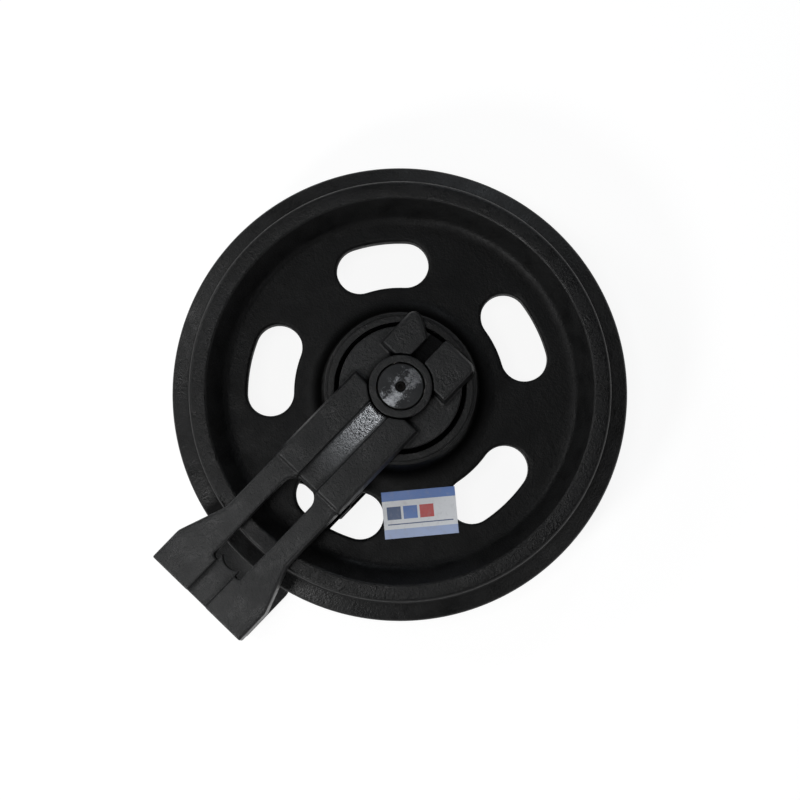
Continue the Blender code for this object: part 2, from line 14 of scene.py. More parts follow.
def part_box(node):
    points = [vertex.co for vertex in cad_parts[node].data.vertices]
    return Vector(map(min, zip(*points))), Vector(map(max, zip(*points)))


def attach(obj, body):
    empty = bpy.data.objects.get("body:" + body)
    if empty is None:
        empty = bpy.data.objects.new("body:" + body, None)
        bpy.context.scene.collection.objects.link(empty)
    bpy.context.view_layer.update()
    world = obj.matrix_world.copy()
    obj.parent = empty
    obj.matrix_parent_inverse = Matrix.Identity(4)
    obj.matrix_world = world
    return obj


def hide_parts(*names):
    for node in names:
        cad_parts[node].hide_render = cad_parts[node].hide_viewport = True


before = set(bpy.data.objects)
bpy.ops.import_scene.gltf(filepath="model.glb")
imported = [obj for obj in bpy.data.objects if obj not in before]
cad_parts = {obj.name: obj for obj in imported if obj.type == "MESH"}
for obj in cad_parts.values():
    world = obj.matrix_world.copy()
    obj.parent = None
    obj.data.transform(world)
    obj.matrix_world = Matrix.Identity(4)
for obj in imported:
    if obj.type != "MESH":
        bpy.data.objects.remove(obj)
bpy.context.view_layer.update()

MM = 0.001
WHEEL_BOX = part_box("idler_wheel")
MIDDLE = (WHEEL_BOX[0].z + WHEEL_BOX[1].z) / 2

# Wheel
FLANGE_RADIUS = 195 * MM
FLANGE_CREST_HALF = 9.5 * MM
FLANGE_BASE_HALF = 15 * MM
TREAD_RADIUS = 179 * MM
RIM_HALF = 33 * MM
RIM_LIP_RADIUS = 164.5 * MM
RIM_ROOT_RADIUS = 151 * MM
RIM_EDGE_ROUND = 3 * MM
WEB_HALF = 8 * MM
WEB_FILLET = 10 * MM
WEB_LOOPS = 18
SLOT_COUNT = 5
SLOT_CIRCLE_RADIUS = 111 * MM
SLOT_HALF_WIDTH = 20 * MM
SLOT_HALF_SPAN = math.radians(10.3)
SLOT_PHASE = math.radians(-20.3)
SLOT_EDGE_ROUND = 2.6 * MM
HUB_HALF = 47 * MM
HUB_RADIUS = 64.5 * MM
HUB_ROOT_RADIUS = 69 * MM
HUB_FILLET = 15 * MM
HUB_FACE_RADIUS = 61 * MM
HUB_FACE_STEP = 1.2 * MM
HUB_EDGE_ROUND = 2 * MM
LABYRINTH_RADIUS = 55.3 * MM
LABYRINTH_FLOOR = 42 * MM
SEAL_HOUSING_RADIUS = 44 * MM
SEAL_FLOOR = 34.75 * MM
HUB_BORE_RADIUS = 24 * MM

# Bracket
DISC_RADIUS = 51.5 * MM
DISC_LOW = 43.5 * MM
DISC_TOP = 54.05 * MM
BRACKET_TOP = 63.05 * MM
BRACKET_SEAL_FLOOR = 50.75 * MM
SLEEVE_RADIUS = 29.3 * MM
SLEEVE_END = 37.75 * MM
AXLE_BORE_RADIUS = 20.3 * MM
SLAB_LOW = 51.75 * MM
BOSS_RADIUS = 26.5 * MM
BOSS_SEAT_RADIUS = 27.5 * MM
BOSS_CHAMFER = 1 * MM
BAR_HALF = 35 * MM
BAR_START = -17.5 * MM
BAR_END = -111 * MM
PAD_START = 16.5 * MM
PAD_END = 54 * MM
PAD_CORNER = 7 * MM
PAD_GAP = (-0.45 * MM, 12.05 * MM)
PAD_BEVEL_LENGTH = 10 * MM
PAD_BEVEL_WIDTH = 17.5 * MM
PAD_BEVEL_CORNER = 4.5 * MM
PAD_BULGE = 1.5 * MM
ARM_TOP = 60.05 * MM
ARM_LOW = 38 * MM
GROOVE_HALF = 10.5 * MM
GROOVE_DEPTH = 4 * MM
FLARE_START = -172 * MM
FLARE_END = -213 * MM
FOOT_HALF = 50 * MM
FOOT_END = -243.5 * MM
SHANK_START = -69.3 * MM
WINDOW_HALF = 15.5 * MM
WINDOW_START = -113 * MM
WINDOW_END = -207 * MM
WINDOW_CORNER = 11 * MM
TONGUE_HALF = 10 * MM
TONGUE_HOLLOW_RADIUS = 13 * MM
TONGUE_CORNER_REACH = 1.5 * MM
TONGUE_CORNER_ROUND = 3 * MM
FAR_FOOT_HALF = 48 * MM
FAR_FOOT_REACH = 20 * MM
CAST_ROUND = 1.6 * MM
CAST_DRAFT = math.tan(math.radians(3))
PAD_DRAFT = math.tan(math.radians(11))
OVERSHOOT = 5 * MM
CAST_VOXEL = 0.9 * MM
CAST_SMOOTHING = 3

# Axle, its plug and the label
AXLE_RADIUS = 20 * MM
AXLE_CHAMFER = 1.2 * MM
PLUG_RADIUS = 4.2 * MM
PLUG_RECESS = 1.5 * MM
PLUG_LENGTH = 9 * MM
PLUG_SOCKET_RADIUS = 2.3 * MM
PLUG_SOCKET_DEPTH = 4 * MM
LABEL_THICKNESS = 0.4 * MM
LABEL_RADIUS = 104.5 * MM
LABEL_ANGLE = math.radians(-126.8)
LABEL_TURN = math.radians(-40.9)
LABEL_HEIGHT = 8.3 * MM
LABEL_CUTS_X = (-31.5, -28, -16, -14, -2, 0, 12, 14.5, 28, 31.5)  # mm, seams between its blocks
LABEL_CUTS_Y = (-20, -13, -12.2, -8.5, -7.6, -4, 7, 10.5, 12, 20)
LABEL_BLUE = (0.1, 0.2, 0.5)
LABEL_PALE = (0.36, 0.45, 0.68)
LABEL_WHITE = (0.73, 0.75, 0.78)
LABEL_NAVY = (0.05, 0.09, 0.2)
LABEL_RED = (0.5, 0.06, 0.06)
LABEL_BLOCKS = ((-28, -16, LABEL_NAVY), (-14, -2, LABEL_BLUE), (0, 12, LABEL_RED))
LABEL_GRIME = (0.3, 0.31, 0.32)

# Finishes
WHEEL_DARK = (0.0012, 0.0013, 0.0014)
WHEEL_LIGHT = (0.004, 0.0042, 0.0046)
BRACKET_DARK = (0.005, 0.0053, 0.0057)
BRACKET_LIGHT = (0.01, 0.0105, 0.011)
PAINT_ROUGHNESS = 0.4
PAINT_ROUGHNESS_SPREAD = 0.11
PAINT_SPECULAR = 0.28
DULL_EXTRA_ROUGHNESS = 0.3
WET_ROUGHNESS = 0.13
GAP_SHADE = 0.75
AXLE_FILM = (0.02, 0.021, 0.0225)
AXLE_BARE = (0.2, 0.207, 0.22)
AXLE_RIM = (0.002, 0.002, 0.002)
AXLE_RIM_WIDTH = 1.7 * MM
AXLE_SPECULAR = 0.16
RUBBER_DARK = (0.012, 0.012, 0.012)
RUBBER_BLOOM = (0.03, 0.03, 0.031)
DUST = (0.018, 0.0186, 0.0192)
# black of painted shade, with some grime in crevices
SHADE_AND_GRIME_BLACK = (0.0006, 0.0006, 0.0006)
WET_SHINE = (0.13, 0.135, 0.142)
# painted light on the top of the foot
FOOT_PAINTED_LIGHT = (0.027, 0.0275, 0.028)
CREVICE_REACH = 6 * MM
RING_SOFT = 0.6 * MM

# Floor, world, light and camera
FLOOR_SIZE = 4
FLOOR_COLOUR = 0.8
FLOOR_GLOW = 0.9
FLOOR_SHADE = 0.2
FLOOR_GAP = 0.2 * MM
AMBIENT = 0.04
WALL_TOP = (0.25, 0.6)  # height of a ray's direction where the white walls fade
PLAIN = (1, 1, 1)
COOL = (0.84, 0.92, 1)
LIGHTS = (  # name, heading, elevation, distance, diameter, watts, tint
    ("key", 180, 40, 1.7, 0.35, 11, PLAIN),
    ("side", 110, 40, 1.7, 0.5, 4.7, PLAIN),
    ("rim", 25, 40, 1.7, 0.3, 2.8, COOL),
    ("fill", 270, 40, 1.7, 0.5, 1.2, PLAIN),
    ("overhead", 160, 80, 1.9, 0.4, 5, PLAIN),
    ("glint", 61.7, 86.2, 1.75, 0.18, 0.7, PLAIN),
)
CAMERA_TARGET = Vector((-4.17 * MM, -4.07 * MM, 63.05 * MM))
CAMERA_DISTANCE = 1.75
CAMERA_HEADING = 218.8
CAMERA_ELEVATION = 84.9
CAMERA_ROLL = math.radians(5.074)
CAMERA_LENS = 91.458
CAMERA_SENSOR = 36

WHEEL_FACETS = 360
RING_FACETS = 160
ARC_STEP = math.radians(12)


def rounded(corners, step=ARC_STEP):
    """Closed outline through (x, y, radius) corners, each one rounded by its radius."""
    outline = []
    for index, (x, y, radius) in enumerate(corners):
        here = Vector((x, y))
        if radius == 0:
            outline.append(here)
            continue
        before = (Vector(corners[index - 1][:2]) - here).normalized()
        after = (Vector(corners[(index + 1) % len(corners)][:2]) - here).normalized()
        half = before.angle(after) / 2
        centre = here + (before + after).normalized() * (radius / math.sin(half))
        arm = here + before * (radius / math.tan(half)) - centre
        turn = math.pi - 2 * half
        if before.x * after.y - before.y * after.x > 0:
            turn = -turn
        steps = math.ceil(abs(turn) / step)
        for number in range(steps + 1):
            outline.append(centre + Matrix.Rotation(turn * number / steps, 2) @ arm)
    return outline


def mirrored(upper):
    return upper + [(radius, -height, fillet) for radius, height, fillet in reversed(upper)]


def arc(centre, radius, start, end, steps):
    angles = [start + (end - start) * number / steps for number in range(steps)]
    return [
        Vector((centre[0] + radius * math.cos(a), centre[1] + radius * math.sin(a)))
        for a in angles
    ]


def circle(radius, facets):
    return arc((0, 0), radius, 0, math.tau, facets)


def spun(shape, profile, facets):
    """Rings of vertices, one for each turn of a (radius, height) profile round Z."""
    rings = []
    for number in range(facets):
        angle = math.tau * number / facets
        across = (math.cos(angle), math.sin(angle))
        rings.append([shape.verts.new((r * across[0], r * across[1], z)) for r, z in profile])
    return rings


def turned(profile, facets):
    """bmesh of a closed (radius, height) profile that stays off the axis, spun round Z."""
    shape = bmesh.new()
    rings = spun(shape, profile, facets)
    for number, ring in enumerate(rings):
        after = rings[(number + 1) % facets]
        for index in range(len(ring)):
            follow = (index + 1) % len(ring)
            shape.faces.new((ring[index], after[index], after[follow], ring[follow]))
    bmesh.ops.recalc_face_normals(shape, faces=shape.faces)
    return shape


def turned_to_axis(profile, facets):
    """bmesh of an open profile from the axis at the bottom to the axis at the top, spun round Z."""
    shape = bmesh.new()
    low = shape.verts.new((0, 0, profile[0][1]))
    high = shape.verts.new((0, 0, profile[-1][1]))
    rings = spun(shape, profile[1:-1], facets)
    for number, ring in enumerate(rings):
        after = rings[(number + 1) % facets]
        shape.faces.new((low, after[0], ring[0]))
        shape.faces.new((high, ring[-1], after[-1]))
        for index in range(len(ring) - 1):
            shape.faces.new((ring[index], after[index], after[index + 1], ring[index + 1]))
    bmesh.ops.recalc_face_normals(shape, faces=shape.faces)
    return shape


def lofted(levels):
    """bmesh of outlines with as many points each, stacked as (outline, height) from low to high."""
    shape = bmesh.new()
    rings = [[shape.verts.new((x, y, height)) for x, y in outline] for outline, height in levels]
    shape.faces.new(list(reversed(rings[0])))
    shape.faces.new(rings[-1])
    for low, high in zip(rings, rings[1:]):
        for index in range(len(low)):
            follow = (index + 1) % len(low)
            shape.faces.new((low[index], low[follow], high[follow], high[index]))
    bmesh.ops.recalc_face_normals(shape, faces=shape.faces)
    return shape


def grown(outline, distance):
    """Counter-clockwise outline with each side moved outwards by a distance."""
    moved = []
    for index, here in enumerate(outline):
        before = (Vector(here) - Vector(outline[index - 1])).normalized()
        after = (Vector(outline[(index + 1) % len(outline)]) - Vector(here)).normalized()
        across = Vector((before.y + after.y, -before.x - after.x)).normalized()
        stretch = math.sqrt((1 + before.dot(after)) / 2)
        moved.append(Vector(here) + across * (distance / stretch))
    return moved


def prism(outline, low, high):
    return lofted([(outline, low), (outline, high)])


def cast_prism(outline, low, high, draft=CAST_DRAFT):
    """Prism with drafted sides and a rounded upper edge."""
    levels = [(grown(outline, (high - low) * draft), low), (outline, high - CAST_ROUND)]
    for angle in (30, 60, 90):
        a = math.radians(angle)
        inset = CAST_ROUND * (1 - math.cos(a))
        levels.append((grown(outline, -inset), high - CAST_ROUND + CAST_ROUND * math.sin(a)))
    return lofted(levels)


def box_outline(low_x, high_x, half_y):
    return [(low_x, -half_y), (high_x, -half_y), (high_x, half_y), (low_x, half_y)]


def scratch_object(shape):
    mesh = bpy.data.meshes.new("scratch")
    shape.to_mesh(mesh)
    shape.free()
    made = bpy.data.objects.new("scratch", mesh)
    bpy.context.collection.objects.link(made)
    return made


def combined(base, steps, finish_mesh=None):
    """Mesh of a bmesh after (operation, bmesh) steps. finish_mesh may add more modifiers."""
    target = scratch_object(base)
    others = []
    for operation, shape in steps:
        other = scratch_object(shape)
        other.hide_render = True
        others.append(other)
        change = target.modifiers.new("change", "BOOLEAN")
        change.object = other
        change.operation = operation
        change.solver = "EXACT"
    if finish_mesh:
        finish_mesh(target)
    graph = bpy.context.evaluated_depsgraph_get()
    mesh = bpy.data.meshes.new_from_object(target.evaluated_get(graph))
    for item in [target] + others:
        bpy.data.objects.remove(item, do_unlink=True)
    return mesh


def piece(name, mesh, body, material, replaced=(), place=None, sharp=35):
    """Object of the scene that rides on a body and may stand for nodes of the frame."""
    mesh.name = name
    mesh.materials.clear()
    mesh.materials.append(material)
    mesh.shade_smooth()
    if sharp:
        mesh.set_sharp_from_angle(angle=math.radians(sharp))
    made = bpy.data.objects.new(name, mesh)
    bpy.context.collection.objects.link(made)
    made.matrix_world = place or Matrix.Translation((0, 0, MIDDLE))
    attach(made, body)
    if replaced:
        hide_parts(*replaced)
    return made


def to_mesh(shape):
    mesh = bpy.data.meshes.new("shape")
    shape.to_mesh(mesh)
    shape.free()
    return mesh


# Node helpers


class Nodes:
    """Small helper that adds and links the nodes of one material."""

    def __init__(self, name):
        self.material = bpy.data.materials.new(name)
        self.material.use_nodes = True
        self.tree = self.material.node_tree
        self.shader = self.tree.nodes["Principled BSDF"]
        coordinates = self.add("ShaderNodeTexCoord")
        self.place = coordinates.outputs["Object"]
        self.faces = coordinates.outputs["Normal"]
        self.place_split = None

    def add(self, kind, **values):
        node = self.tree.nodes.new(kind)
        for key, value in values.items():
            setattr(node, key, value)
        return node

    def link(self, source, target):
        self.tree.links.new(source, target)

    def along(self, axis):
        """Place along one of the object's axes."""
        if self.place_split is None:
            self.place_split = self.add("ShaderNodeSeparateXYZ")
            self.link(self.place, self.place_split.inputs["Vector"])
        return self.place_split.outputs[axis]

    def noise(self, scale, detail=2.0, roughness=0.5):
        """Cloudy noise of so many waves to the metre."""
        node = self.add("ShaderNodeTexNoise")
        self.link(self.place, node.inputs["Vector"])
        node.inputs["Scale"].default_value = scale
        node.inputs["Detail"].default_value = detail
        node.inputs["Roughness"].default_value = roughness
        return node.outputs["Fac"]

    def cells(self, scale):
        """Distance to the middle of the nearest grain, with so many grains to the metre."""
        node = self.add("ShaderNodeTexVoronoi")
        self.link(self.place, node.inputs["Vector"])
        node.inputs["Scale"].default_value = scale
        return node.outputs["Distance"]

    def ramp(self, value, low, high, start=0.0, end=1.0):
        """Maps a value from low..high to start..end, held at both ends."""
        node = self.add("ShaderNodeMapRange")
        self.link(value, node.inputs["Value"])
        node.inputs["From Min"].default_value = low
        node.inputs["From Max"].default_value = high
        node.inputs["To Min"].default_value = start
        node.inputs["To Max"].default_value = end
        return node.outputs["Result"]

    def math(self, operation, first, second):
        node = self.add("ShaderNodeMath", operation=operation)
        for index, value in enumerate((first, second)):
            if isinstance(value, (int, float)):
                node.inputs[index].default_value = value
            else:
                self.link(value, node.inputs[index])
        return node.outputs["Value"]

    def blend(self, share, first, second):
        """Colour between two, each a tuple or an output."""
        node = self.add("ShaderNodeMix", data_type="RGBA")
        self.link(share, node.inputs["Factor"])
        colours = [s for s in node.inputs if s.type == "RGBA"]
        for socket, value in zip(colours, (first, second)):
            if isinstance(value, tuple):
                socket.default_value = (*value, 1)
            else:
                self.link(value, socket)
        return next(s for s in node.outputs if s.type == "RGBA")

    def between(self, share, first, second):
        """Number between two."""
        node = self.add("ShaderNodeMix", data_type="FLOAT")
        self.link(share, node.inputs["Factor"])
        self.link(first, node.inputs["A"])
        node.inputs["B"].default_value = second
        return node.outputs["Result"]

    def crevice(self, reach):
        """How far a spot is closed in by faces within a reach."""
        node = self.add("ShaderNodeAmbientOcclusion", samples=4)
        node.inputs["Distance"].default_value = reach
        return self.ramp(node.outputs["AO"], 0.5, 0.88, 1.0, 0.0)

    def inside(self, low, high, soft_low, soft_high):
        """Share inside a box, with soft edges of a width for each direction."""
        share = None
        for axis, start, end, in_edge, out_edge in zip("XYZ", low, high, soft_low, soft_high):
            after_start = self.ramp(self.along(axis), start, start + in_edge)
            before_end = self.ramp(self.along(axis), end - out_edge, end, 1.0, 0.0)
            both = self.math("MULTIPLY", after_start, before_end)
            share = self.math("MULTIPLY", share, both) if share else both
        return share

    def radius(self):
        """Distance from the wheel's axis."""
        squares = [self.math("MULTIPLY", self.along(axis), self.along(axis)) for axis in "XY"]
        return self.math("SQRT", self.math("ADD", *squares), 0.0)

    def facing_up(self):
        """How far a face looks along the wheel's axis, up or down."""
        split = self.add("ShaderNodeSeparateXYZ")
        self.link(self.faces, split.inputs["Vector"])
        return self.math("ABSOLUTE", split.outputs["Z"], 0.0)

    def bump(self, *layers):
        """Chain of (height, distance, strength) bumps."""
        normal = None
        for height, distance, strength in layers:
            node = self.add("ShaderNodeBump")
            self.link(height, node.inputs["Height"])
            node.inputs["Distance"].default_value = distance
            node.inputs["Strength"].default_value = strength
            if normal:
                self.link(normal, node.inputs["Normal"])
            normal = node.outputs["Normal"]
        self.feed(Normal=normal)

    def feed(self, **sources):
        """Links outputs to the shader's sockets of the same names."""
        for key, source in sources.items():
            self.link(source, self.shader.inputs[key.replace("_", " ")])

    def set(self, **values):
        """Sets the shader's sockets of the same names to constants."""
        for key, value in values.items():
            self.shader.inputs[key.replace("_", " ")].default_value = value


def painted_shade_and_grime(nodes, shade_box, shade_rings):
    """Share of painted shade, with some grime in the crevices: crevices, a shaded box and rings of
    (low, high, outer softness, strength).
    """
    # Painted shade darkens the crevices, partly also their grime; the shaded box and the rings are
    # painted shade only.
    shade_and_grime = nodes.crevice(CREVICE_REACH)
    if shade_box:
        shaded = nodes.math("MULTIPLY", nodes.inside(*shade_box), GAP_SHADE)
        shade_and_grime = nodes.math("MAXIMUM", shade_and_grime, shaded)
    for low, high, soft, strength in shade_rings:
        after_low = nodes.ramp(nodes.radius(), low, low + RING_SOFT, 0.0, strength)
        before_high = nodes.ramp(nodes.radius(), high - soft, high, 1.0, 0.0)
        shade_and_grime = nodes.math("MAXIMUM", shade_and_grime, nodes.math("MULTIPLY", after_low, before_high))
    return shade_and_grime


def inner_wall_shade(nodes):
    """Share of the walls inside the rim: they are duller than the top faces, and darker as painted
    shade.
    """
    upright = nodes.ramp(nodes.facing_up(), 0.3, 0.8, 1.0, 0.0)
    inner = nodes.ramp(nodes.radius(), TREAD_RADIUS - 8 * MM, TREAD_RADIUS - 4 * MM, 1.0, 0.0)
    return nodes.math("MULTIPLY", upright, inner)


def foot_painted_light(nodes):
    """Patchy share of painted light that grows from the bar's end to the flare of the foot."""
    share = nodes.ramp(nodes.along("X"), FLARE_START, BAR_END + 30 * MM, 1.0, 0.0)
    patches = nodes.ramp(nodes.noise(22, 3, 0.6), 0.3, 0.6, 0.45, 1.0)
    return nodes.math("MULTIPLY", share, patches)


def cast_paint(
    name, dark, light, wet_box=None, shade_box=None, shade_rings=(), walls=False, foot=False
):
    """Black paint, run thick over sand-cast iron.

    Painted shade, with some grime in crevices, is a black metal, because that doesn't shine, and
    the wet film is a dark metal that does.
    walls darkens the walls inside the rim as painted shade and makes them duller, and foot paints
    light that grows towards the foot.
    """
    nodes = Nodes(name)
    patches = nodes.ramp(nodes.noise(16, 3, 0.6), 0.35, 0.68)
    colour = nodes.blend(patches, dark, light)
    dust = nodes.ramp(nodes.noise(420, 4, 0.7), 0.58, 0.76, 0.0, 0.25)
    colour = nodes.blend(dust, colour, DUST)
    shade_and_grime = painted_shade_and_grime(nodes, shade_box, shade_rings)
    # Painted light: the top of the foot is made lighter towards its flare.
    if foot:
        colour = nodes.blend(foot_painted_light(nodes), colour, FOOT_PAINTED_LIGHT)
    dull = shade_and_grime
    if walls:
        wall_share = inner_wall_shade(nodes)
        # Painted shade: the walls inside the rim take the paint's dark tone.
        colour = nodes.blend(wall_share, colour, dark)
        dull = nodes.math("MAXIMUM", wall_share, shade_and_grime)
    # Painted shade, with some grime in the crevices: these spots are coloured black.
    colour = nodes.blend(shade_and_grime, colour, SHADE_AND_GRIME_BLACK)
    low = PAINT_ROUGHNESS - PAINT_ROUGHNESS_SPREAD
    high = PAINT_ROUGHNESS + PAINT_ROUGHNESS_SPREAD
    gloss = nodes.ramp(nodes.noise(60, 3, 0.6), 0.3, 0.7, low, high)
    gloss = nodes.math("ADD", gloss, nodes.math("MULTIPLY", dull, DULL_EXTRA_ROUGHNESS))
    shade_and_wet_metal = shade_and_grime
    if wet_box:
        wet = nodes.inside(*wet_box)
        colour = nodes.blend(wet, colour, WET_SHINE)
        gloss = nodes.between(wet, gloss, WET_ROUGHNESS)
        shade_and_wet_metal = nodes.math("MAXIMUM", shade_and_grime, wet)
    nodes.feed(Base_Color=colour, Roughness=gloss, Metallic=shade_and_wet_metal)
    nodes.set(Specular_IOR_Level=PAINT_SPECULAR)
    nodes.bump(
        (nodes.noise(32, 2, 0.5), 1.2 * MM, 0.3),
        (nodes.noise(140, 3, 0.55), 0.5 * MM, 0.5),
        (nodes.noise(430, 3, 0.65), 0.42 * MM, 0.9),
        (nodes.cells(700), 0.2 * MM, 0.5),
    )
    return nodes.material


def axle_face(name):
    """Turned steel under a dark film, worn bare in patches along X, with a dark rim."""
    nodes = Nodes(name)
    aside = nodes.math("ABSOLUTE", nodes.along("Y"), 0.0)
    worn = nodes.math("SUBTRACT", nodes.noise(95, 3, 0.6), nodes.math("MULTIPLY", aside, 18.0))
    speckle = nodes.math("MULTIPLY", nodes.noise(800, 3, 0.7), 0.7)
    bare = nodes.ramp(nodes.math("ADD", worn, speckle), 0.72, 0.92)
    face_end = AXLE_RADIUS - AXLE_CHAMFER
    face = nodes.ramp(nodes.radius(), AXLE_RADIUS - AXLE_RIM_WIDTH, face_end, 1.0, 0.0)
    bare = nodes.math("MULTIPLY", bare, face)
    colour = nodes.blend(bare, AXLE_FILM, AXLE_BARE)
    colour = nodes.blend(face, AXLE_RIM, colour)
    gloss = nodes.ramp(nodes.noise(140, 3), 0.3, 0.7, 0.4, 0.55)
    tangent = nodes.add("ShaderNodeTangent", direction_type="RADIAL", axis="Z")
    nodes.feed(
        Base_Color=colour,
        Metallic=nodes.ramp(bare, 0.0, 1.0, 0.1, 0.9),
        Roughness=nodes.between(bare, gloss, 0.3),
        Tangent=tangent.outputs["Tangent"],
    )
    nodes.set(Anisotropic=0.6, Specular_IOR_Level=AXLE_SPECULAR)
    nodes.bump(
        (nodes.noise(60, 2), 0.4 * MM, 0.3),
        (nodes.noise(500, 3, 0.6), 0.25 * MM, 0.7),
    )
    return nodes.material


def plain_metal(name, colour, rough, grain):
    """Machined metal with a fine grain and darker clouds."""
    nodes = Nodes(name)
    shade = nodes.ramp(nodes.noise(90, 4, 0.6), 0.3, 0.7)
    darker = tuple(channel * 0.72 for channel in colour)
    nodes.feed(
        Base_Color=nodes.blend(shade, colour, darker),
        Roughness=nodes.ramp(nodes.noise(grain, 3), 0.3, 0.7, rough - 0.06, rough + 0.1),
    )
    nodes.set(Metallic=1.0)
    nodes.bump((nodes.noise(grain, 3), 0.04 * MM, 0.4))
    return nodes.material


def seal_rubber(name):
    """Black rubber with a pale bloom."""
    nodes = Nodes(name)
    bloom = nodes.ramp(nodes.noise(120, 4, 0.6), 0.4, 0.7)
    nodes.feed(
        Base_Color=nodes.blend(bloom, RUBBER_DARK, RUBBER_BLOOM),
        Roughness=nodes.ramp(nodes.noise(300, 2), 0.3, 0.7, 0.5, 0.68),
    )
    nodes.bump((nodes.noise(1400, 2), 0.03 * MM, 0.4))
    return nodes.material


def label_paper(name):
    """Glossy printed paper. The print is the colour attribute of its faces."""
    nodes = Nodes(name)
    print_colour = nodes.add("ShaderNodeVertexColor", layer_name="print")
    grime = nodes.ramp(nodes.noise(190, 4, 0.65), 0.52, 0.75, 0.0, 0.3)
    nodes.feed(
        Base_Color=nodes.blend(grime, print_colour.outputs["Color"], LABEL_GRIME),
        Roughness=nodes.ramp(nodes.noise(80, 3), 0.3, 0.7, 0.28, 0.42),
    )
    nodes.bump(
        (nodes.noise(70, 3, 0.5), 0.5 * MM, 0.25),
        (nodes.noise(1500, 2), 0.02 * MM, 0.3),
    )
    return nodes.material


# Boxes as low corner, high corner, softness at the low sides and at the high sides
WET_GROOVE = (
    (-100 * MM, -GROOVE_HALF, BRACKET_TOP - GROOVE_DEPTH - 1 * MM),
    (-20 * MM, GROOVE_HALF, BRACKET_TOP - GROOVE_DEPTH + 1 * MM),
    (60 * MM, 4 * MM, 0.4 * MM),
    (4 * MM, 2 * MM, 0.4 * MM),
)
# Painted shade on the floor of the gap between the pads
SHADED_GAP = (
    (PAD_START, PAD_GAP[0] - 1 * MM, DISC_LOW),
    (DISC_RADIUS + 2 * MM, PAD_GAP[1] + 1 * MM, DISC_TOP + 1 * MM),
    (1 * MM, 0.5 * MM, 0.5 * MM),
    (1 * MM, 0.5 * MM, 0.5 * MM),
)
# Painted shade in the hollows: inside the labyrinth, over the hub's wall and fillet, and weaker
# over the sunken web
SHADED_RINGS = (
    (0, LABYRINTH_RADIUS - 0.2 * MM, RING_SOFT, 1.0),
    (HUB_RADIUS - 0.5 * MM, HUB_ROOT_RADIUS + 16 * MM, 16 * MM, 0.9),
    (HUB_RADIUS, RIM_ROOT_RADIUS + 2 * MM, 5 * MM, 0.36),
)
WHEEL_PAINT = cast_paint(
    "wheel_paint", WHEEL_DARK, WHEEL_LIGHT, shade_rings=SHADED_RINGS, walls=True
)
BRACKET_PAINT = cast_paint(
    "bracket_paint", BRACKET_DARK, BRACKET_LIGHT, WET_GROOVE, SHADED_GAP, foot=True
)
AXLE_STEEL = axle_face("axle_steel")
PLUG_STEEL = plain_metal("plug_steel", (0.012, 0.0115, 0.011), 0.55, 900)
PIN_STEEL = plain_metal("pin_steel", (0.3, 0.29, 0.28), 0.35, 900)
SEAL_STEEL = plain_metal("seal_steel", (0.5, 0.49, 0.47), 0.22, 1300)
BRONZE = plain_metal("bronze", (0.45, 0.27, 0.10), 0.34, 1000)
RUBBER = seal_rubber("seal_rubber")
PAPER = label_paper("label_paper")


# Wheel


def kidney(extra):
    """Outline of one slot on its circle, grown by an extra width."""
    reach = SLOT_HALF_WIDTH + extra
    outline = []
    for side in (1, -1):
        end = side * SLOT_HALF_SPAN
        outline += arc((0, 0), SLOT_CIRCLE_RADIUS + side * reach, -end, end, 10)
        centre = (SLOT_CIRCLE_RADIUS * math.cos(end), SLOT_CIRCLE_RADIUS * math.sin(end))
        start = end if side > 0 else end + math.pi
        outline += arc(centre, reach, start, start + math.pi, 22)
    return outline


def slot_cutters():
    """All slots in one bmesh, each one flared so that its edges come out rounded."""
    half_levels = []
    for angle in (0, 18, 36, 54, 72):
        a = math.radians(angle)
        out = SLOT_EDGE_ROUND * (1 - math.cos(a))
        half_levels.append((out, WEB_HALF - SLOT_EDGE_ROUND + SLOT_EDGE_ROUND * math.sin(a)))
    last_out, last_height = half_levels[-1]
    slope = math.tan(math.radians(72))
    rise = 1.2 * MM
    half_levels.append((last_out + rise * slope, last_height + rise))
    levels = [(kidney(out), -height) for out, height in reversed(half_levels)]
    levels += [(kidney(out), height) for out, height in half_levels]
    whole = bmesh.new()
    for number in range(SLOT_COUNT):
        shape = lofted(levels)
        turn = Matrix.Rotation(SLOT_PHASE + math.tau * number / SLOT_COUNT, 4, "Z")
        bmesh.ops.transform(shape, matrix=turn, verts=shape.verts)
        mesh = to_mesh(shape)
        whole.from_mesh(mesh)
        bpy.data.meshes.remove(mesh)
    return whole


